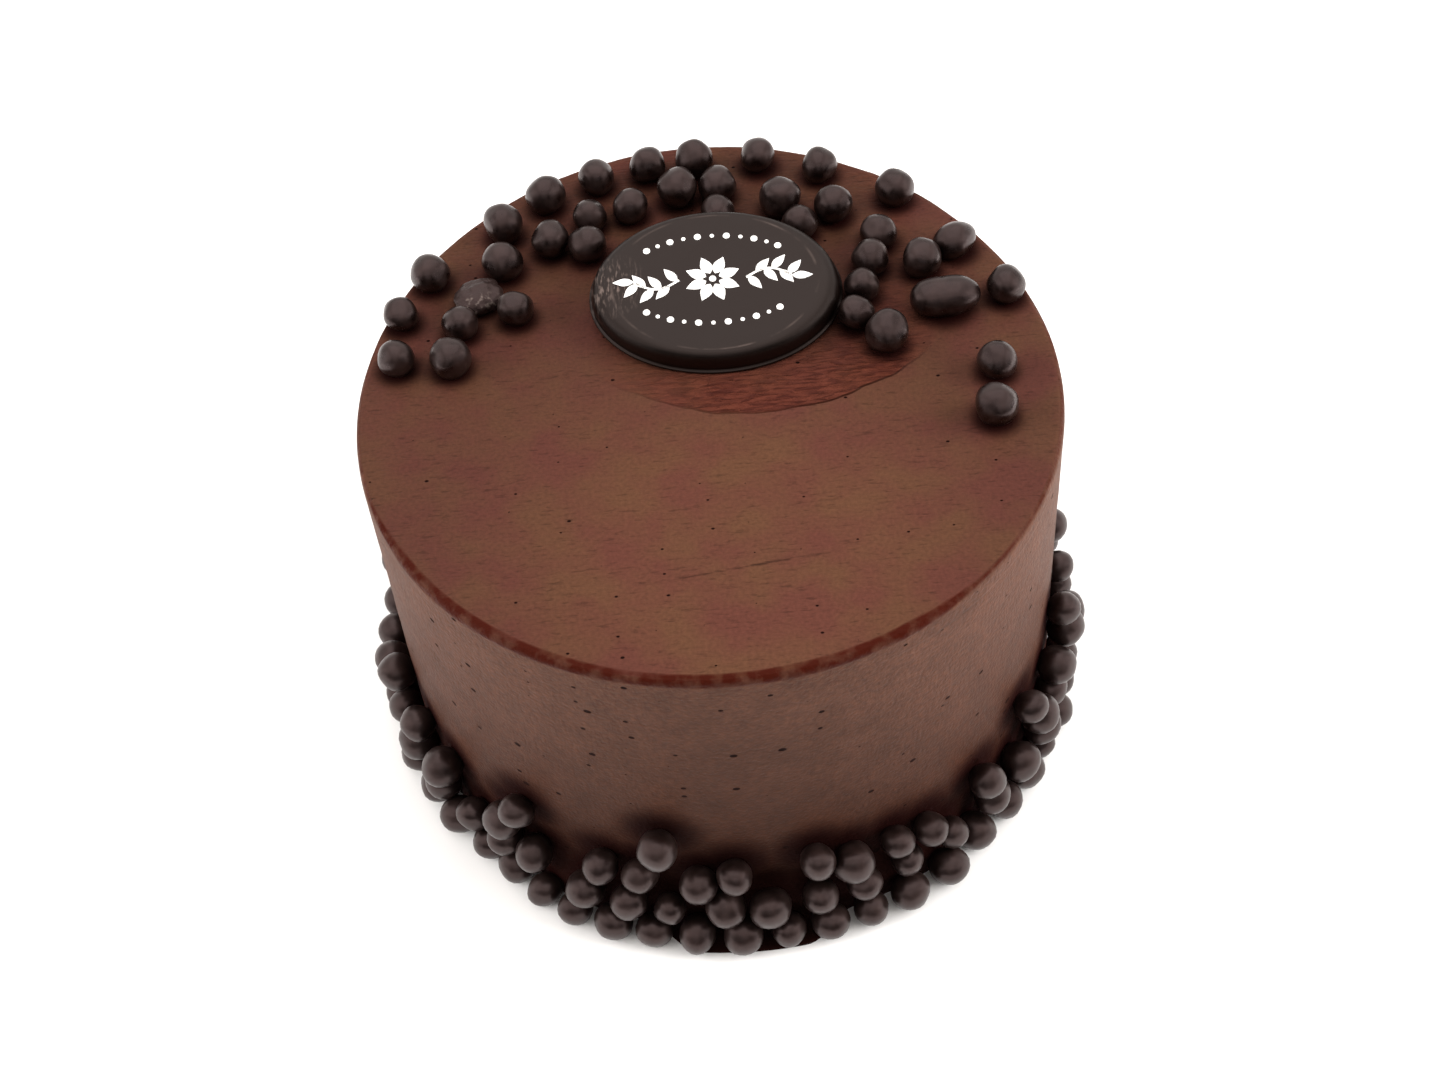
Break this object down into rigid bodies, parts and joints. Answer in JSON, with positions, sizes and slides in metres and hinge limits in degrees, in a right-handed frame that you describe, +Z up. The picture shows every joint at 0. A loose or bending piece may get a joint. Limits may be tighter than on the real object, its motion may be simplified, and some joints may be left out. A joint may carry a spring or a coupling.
{
  "type": "chocolate caramel cake",
  "caption": "Small drum-shaped cake coated in smooth chocolate cream, with an oval chocolate plaque leaning on scattered chocolate pearls and a band of pearls pressed round its foot",
  "frame": {"origin": "centre of the flat underside of the cake, where it rests", "axes": "+Z up, -Y to the front (the clear side of the top face), +Y to the back (the side with the pearls and the plaque), +X to the right seen from the front"},
  "size_m": [0.1684, 0.1714, 0.1018],
  "materials": {
    "chocolate_cream": "smooth spread chocolate cream, satin to matt, with dark chocolate pearls fused on",
    "dark_chocolate": "moulded dark chocolate, soft gloss"
  },
  "bodies": {
    "root": {"cake": "chocolate_cream", "plaque": "dark_chocolate"}
  },
  "joints": []
}
